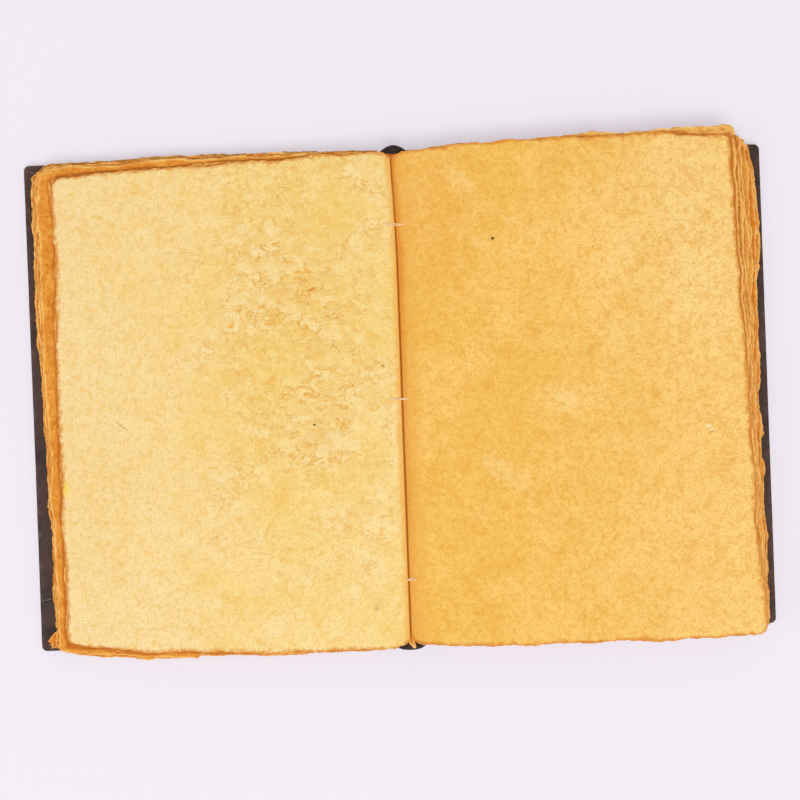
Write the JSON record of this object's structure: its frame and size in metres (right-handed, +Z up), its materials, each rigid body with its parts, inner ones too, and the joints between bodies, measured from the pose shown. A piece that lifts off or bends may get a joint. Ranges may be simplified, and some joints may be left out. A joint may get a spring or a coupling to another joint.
{
  "type": "open book",
  "caption": "Hand-bound journal lying open at the middle: torn-edged, tea-coloured cotton paper in dark turned-in leather covers.",
  "frame": {"origin": "on the table under the middle of the gutter, halfway between head and tail", "axes": "+X from the gutter to the back cover's fore-edge, +Y to the head of the pages, +Z up off the table"},
  "size_m": [0.272, 0.187, 0.0154],
  "materials": {
    "leather": "matt, a little sheen where it is rubbed",
    "board": "raw grey-brown board",
    "lining_cloth": "open-weave cotton",
    "pastedown_paper": "matt, tea-coloured",
    "back_paper": "matt handmade cotton paper, deeper yellow, burnt-orange torn edges",
    "front_paper": "matt handmade cotton paper, pale yellow, burnt-orange torn edges",
    "thread": "off-white waxed thread"
  },
  "bodies": {
    "back_half": {"back_leather": "leather", "back_board": "board", "back_lining": "lining_cloth", "back_pastedown": "pastedown_paper", "back_pages": "back_paper", "back_sewing": "thread"},
    "front_half": {"front_leather": "leather", "front_board": "board", "front_lining": "lining_cloth", "front_pastedown": "pastedown_paper", "front_pages": "front_paper", "front_sewing": "thread"}
  },
  "joints": [
    {"name": "front_cover_hinge", "type": "hinge", "parent": "back_half", "child": "front_half", "pos_m": [0, 0, 0.0135], "axis": [0, 1, 0], "range_deg": [0, 180]}
  ]
}
